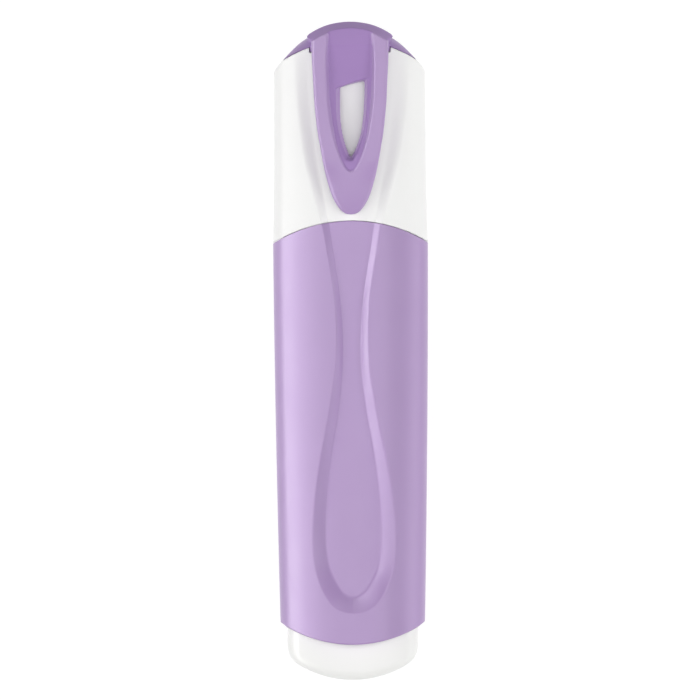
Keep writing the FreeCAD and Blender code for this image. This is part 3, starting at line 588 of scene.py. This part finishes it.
def plastic(name, colour, rough, grain_mm=0.16, bump=0.012, vary=0.02, coat=0.0, ior=1.5, subsurface=0.0, streak=None, spec=0.5):
    """Moulded plastic: fine spark-eroded grain, slight cloudiness in colour and gloss, faint handling haze."""
    m = bpy.data.materials.new(name)
    m.use_nodes = True
    nt = m.node_tree
    nt.nodes.clear()
    out = nt.nodes.new("ShaderNodeOutputMaterial")
    p = nt.nodes.new("ShaderNodeBsdfPrincipled")
    nt.links.new(p.outputs[0], out.inputs[0])
    p.inputs["IOR"].default_value = ior
    p.inputs["Coat Weight"].default_value = coat
    p.inputs["Coat Roughness"].default_value = rough
    p.inputs["Specular IOR Level"].default_value = spec
    if subsurface:
        p.inputs["Subsurface Weight"].default_value = subsurface
        p.inputs["Subsurface Radius"].default_value = (0.0015, 0.0012, 0.0015)
        p.inputs["Subsurface Scale"].default_value = 1.0
    tc = nt.nodes.new("ShaderNodeTexCoord")
    cloud = nt.nodes.new("ShaderNodeTexNoise")
    cloud.inputs["Scale"].default_value = 90.0
    cloud.inputs["Detail"].default_value = 3.0
    nt.links.new(tc.outputs["Object"], cloud.inputs["Vector"])
    ramp = nt.nodes.new("ShaderNodeMapRange")
    ramp.inputs["From Min"].default_value = 0.3
    ramp.inputs["From Max"].default_value = 0.7
    ramp.inputs["To Min"].default_value = 1 - vary
    ramp.inputs["To Max"].default_value = 1 + vary
    nt.links.new(cloud.outputs["Fac"], ramp.inputs["Value"])
    mul = nt.nodes.new("ShaderNodeVectorMath")
    mul.operation = "SCALE"
    mul.inputs[0].default_value = colour
    nt.links.new(ramp.outputs["Result"], mul.inputs["Scale"])
    nt.links.new(mul.outputs["Vector"], p.inputs["Base Color"])
    haze = nt.nodes.new("ShaderNodeTexNoise")
    haze.inputs["Scale"].default_value = 260.0
    haze.inputs["Detail"].default_value = 4.0
    nt.links.new(tc.outputs["Object"], haze.inputs["Vector"])
    rr = nt.nodes.new("ShaderNodeMapRange")
    rr.inputs["From Min"].default_value = 0.3
    rr.inputs["From Max"].default_value = 0.7
    rr.inputs["To Min"].default_value = rough * 0.9
    rr.inputs["To Max"].default_value = rough * 1.12
    nt.links.new(haze.outputs["Fac"], rr.inputs["Value"])
    nt.links.new(rr.outputs["Result"], p.inputs["Roughness"])
    grain = nt.nodes.new("ShaderNodeTexNoise")
    grain.inputs["Scale"].default_value = 1000.0 / grain_mm / 2.5
    grain.inputs["Detail"].default_value = 2.0
    if streak:
        mp = nt.nodes.new("ShaderNodeMapping")
        mp.inputs["Scale"].default_value = streak
        nt.links.new(tc.outputs["Object"], mp.inputs["Vector"])
        nt.links.new(mp.outputs["Vector"], grain.inputs["Vector"])
    else:
        nt.links.new(tc.outputs["Object"], grain.inputs["Vector"])
    b = nt.nodes.new("ShaderNodeBump")
    b.inputs["Strength"].default_value = 0.35
    b.inputs["Distance"].default_value = bump / 1000.0
    nt.links.new(grain.outputs["Fac"], b.inputs["Height"])
    nt.links.new(b.outputs["Normal"], p.inputs["Normal"])
    return m


purple = plastic("moulded_purple", srgb(166, 137, 187), 0.33, vary=0.008, bump=0.003, spec=0.80)
# slightly lighter copy of the body's purple: painted light on the clip, which is the same plastic
clip_purple_painted_light = plastic("clip_purple_painted_light", srgb(170, 143, 190), 0.33, vary=0.008, bump=0.002, spec=0.50)
# darker, barely glossy copy of the same purple plastic: painted shade for the clip's channel floor, the root's sloping
# top band and the crown
purple_painted_shade = plastic("purple_painted_shade", srgb(161, 131, 185), 0.33, vary=0.008, bump=0.002, spec=0.10)
white = plastic("moulded_white", srgb(240, 240, 239), 0.33, vary=0.004, bump=0.003, spec=0.21)
# slightly darker copy of the cap's white: painted shade on the end plug
plug_white_painted_shade = plastic("plug_white_painted_shade", srgb(236, 236, 234), 0.33, vary=0.004, bump=0.003, spec=0.50)
inner_white = plastic("neck_white", srgb(240, 240, 238), 0.34, vary=0.01)
cup_mat = plastic("sealing_cup", srgb(228, 229, 230), 0.30, vary=0.01)
nib_mat = plastic("nib_fibre", srgb(176, 130, 212), 0.78, grain_mm=0.12, bump=0.05, vary=0.08, streak=(1.0, 0.10, 1.0))
ink_mat = plastic("ink_fibre", srgb(168, 120, 208), 0.85, grain_mm=0.10, bump=0.06, vary=0.12, streak=(1.0, 0.06, 1.0))
film_mat = plastic("film", srgb(222, 216, 232), 0.18, vary=0.02)


def dress(ob, mat):
    ob.data.materials.clear()
    ob.data.materials.append(mat)


# ---------------------------------------------------------------- build the pieces
barrel = barrel_mesh("barrel_shell")
dress(barrel, purple)
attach(barrel, "pen")
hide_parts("barrel")

pitch = 0.24
cap = net("cap_body", cap_field, (-13.9, 75.3, -8.7), (13.9, 111.9, 8.7), pitch)
dress(cap, white)
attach(cap, "cap")
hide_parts("cap_shell")

pitch = 0.15
clip = net("crown_and_clip", clip_field, (-12.9, 80.3, -8.4), (12.9, 115.1, 11.2), pitch)
dress(clip, clip_purple_painted_light)
clip.data.materials.append(purple_painted_shade)
mid = np.empty(len(clip.data.polygons) * 3, np.float32)
clip.data.polygons.foreach_get("center", mid)
mid = mid.reshape(-1, 3).astype(float) * 1000.0
cx, cz, cq = mid[:, 0], mid[:, 1] - FOOT, mid[:, 2] - AXIS
# faces that take the darker copy: painted shade on the channel floor, the root's sloping top band and the crown's wings
# and top
low = (CHANNEL_SD(cx, cz) < 0.15) & (cq < along(FACE, cz) - 0.7 * channel_depth(cz)) & (cq > along(FACE, cz) - 1.25) & (cz < 114)
low |= (cz > LIP_Z) & (cq < 10.62) & (np.hypot(cx, cz - LIP_Z) > LIP_R - 1.38) & (np.abs(cx) < 7.6)
low |= (cq < 8.4) & (cz > 104.5) & ((np.abs(cx) > 6.7) | (cz > 112.0))
clip.data.polygons.foreach_set("material_index", low.astype(np.int32))
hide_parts("clip_crown", "clip_tongue")
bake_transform(clip)

plug = net("foot_plug", plug_field, (-11.8, -0.4, -6.6), (11.8, 17.4, 6.6), 0.2)
dress(plug, plug_white_painted_shade)
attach(plug, "pen")
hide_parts("end_plug")

for node, mat in (("front_section", inner_white), ("nib", nib_mat), ("ink_reservoir", ink_mat), ("reservoir_wrap", film_mat), ("inner_cap", cup_mat)):
    for ob in bpy.data.objects:
        if ob.type == "MESH" and ob.name.split(".")[0] == node:
            dress(ob, mat)

# ---------------------------------------------------------------- floor, light, camera
me = bpy.data.meshes.new("floor")
s = 3.0
me.from_pydata([(-s, -s, 0), (s, -s, 0), (s, s, 0), (-s, s, 0)], [], [(0, 1, 2, 3)])
floor = bpy.data.objects.new("floor", me)
floor.location = (0, 0, -0.00002)
bpy.context.scene.collection.objects.link(floor)
fm = bpy.data.materials.new("pale_floor")
fm.use_nodes = True
fp = fm.node_tree.nodes["Principled BSDF"]
fp.inputs["Base Color"].default_value = (0.2, 0.2, 0.2, 1)
fp.inputs["Roughness"].default_value = 0.9
fp.inputs["Specular IOR Level"].default_value = 0.1
fp.inputs["Emission Color"].default_value = (1, 1, 1, 1)
fp.inputs["Emission Strength"].default_value = 0.86
floor.data.materials.append(fm)


def softbox(name, at, aim, size, power, colour=(1, 1, 1), gloss=True, diffuse=True):
    l = bpy.data.lights.new(name, "AREA")
    l.shape = "RECTANGLE"
    l.size, l.size_y = size
    l.energy = power
    l.color = colour
    o = bpy.data.objects.new(name, l)
    o.location = at
    d = Vector(aim) - Vector(at)
    o.rotation_euler = d.to_track_quat("-Z", "Y").to_euler()
    o.visible_diffuse = diffuse
    o.visible_glossy = gloss
    o.visible_camera = False
    bpy.context.scene.collection.objects.link(o)
    return o


softbox("key_left", (-0.50, 0.0, 0.112), (0, 0, 0.008), (0.75, 0.225), 3.10, diffuse=False)
softbox("key_upper", (-0.45, 0.0, 0.33), (0, 0, 0.008), (0.75, 0.19), 0.92, diffuse=False)
softbox("key_corner", (-0.30, 0.36, 0.29), (0, 0, 0.008), (0.62, 0.28), 2.20, diffuse=False)
softbox("rear_high", (0.20, 0.60, 0.70), (0, 0, 0.008), (0.18, 0.18), 0.50, diffuse=False)
softbox("fill_right", (0.50, 0.0, 0.09), (0, 0, 0.008), (0.75, 0.12), 0.66, diffuse=False)
softbox("side_left", (-0.90, -0.10, 0.62), (0, 0, 0.008), (1.2, 0.5), 4.6, gloss=False)
softbox("side_right", (0.90, -0.10, 0.62), (0, 0, 0.008), (1.2, 0.5), 5.2, gloss=False)
softbox("overhead", (0.0, 0.0, 1.10), (0, 0, 0), (2.1, 0.6), 7.1)

world = bpy.data.worlds.new("studio")
world.use_nodes = True
wn = world.node_tree
back = wn.nodes["Background"]
back.inputs[0].default_value = (1, 1, 1, 1)
coord = wn.nodes.new("ShaderNodeTexCoord")
split = wn.nodes.new("ShaderNodeSeparateXYZ")
fade = wn.nodes.new("ShaderNodeMapRange")
fade.interpolation_type = "SMOOTHSTEP"
fade.inputs["From Min"].default_value = -0.1
fade.inputs["From Max"].default_value = 0.75
fade.inputs["To Min"].default_value = 0.34
fade.inputs["To Max"].default_value = 0.04
wn.links.new(coord.outputs["Generated"], split.inputs[0])
wn.links.new(split.outputs["Y"], fade.inputs["Value"])
# the backdrop itself is pale; only what it sheds on the pen is dimmed
seen = wn.nodes.new("ShaderNodeLightPath")
pick = wn.nodes.new("ShaderNodeMix")
pick.inputs["B"].default_value = 0.86
wn.links.new(seen.outputs["Is Camera Ray"], pick.inputs["Factor"])
wn.links.new(fade.outputs["Result"], pick.inputs["A"])
wn.links.new(pick.outputs["Result"], back.inputs[1])
bpy.context.scene.world = world

scene = bpy.context.scene
scene.view_settings.view_transform = "Standard"
scene.view_settings.look = "None"
scene.view_settings.exposure = 0.0
scene.view_settings.gamma = 1.0

cam_data = bpy.data.cameras.new("camera")
cam = bpy.data.objects.new("camera", cam_data)
scene.collection.objects.link(cam)
DIST = 4.0
cam_data.sensor_width = 36.0
cam_data.lens = 36.0 * DIST / (700 / 5.741 / 1000)
cam_data.clip_start = 0.01
cam_data.clip_end = 20
roll, turn = math.radians(0.35), math.radians(0.7)
AIM_X, AIM_Y, AIM_Z = -0.0002, 0.0, 0.008
cam.location = (AIM_X - DIST * math.sin(turn), AIM_Y, AIM_Z + DIST * math.cos(turn))
cam.matrix_world = Matrix.Translation(cam.location) @ Matrix.Rotation(-turn, 4, "Y") @ Matrix.Rotation(-roll, 4, "Z")
scene.camera = cam
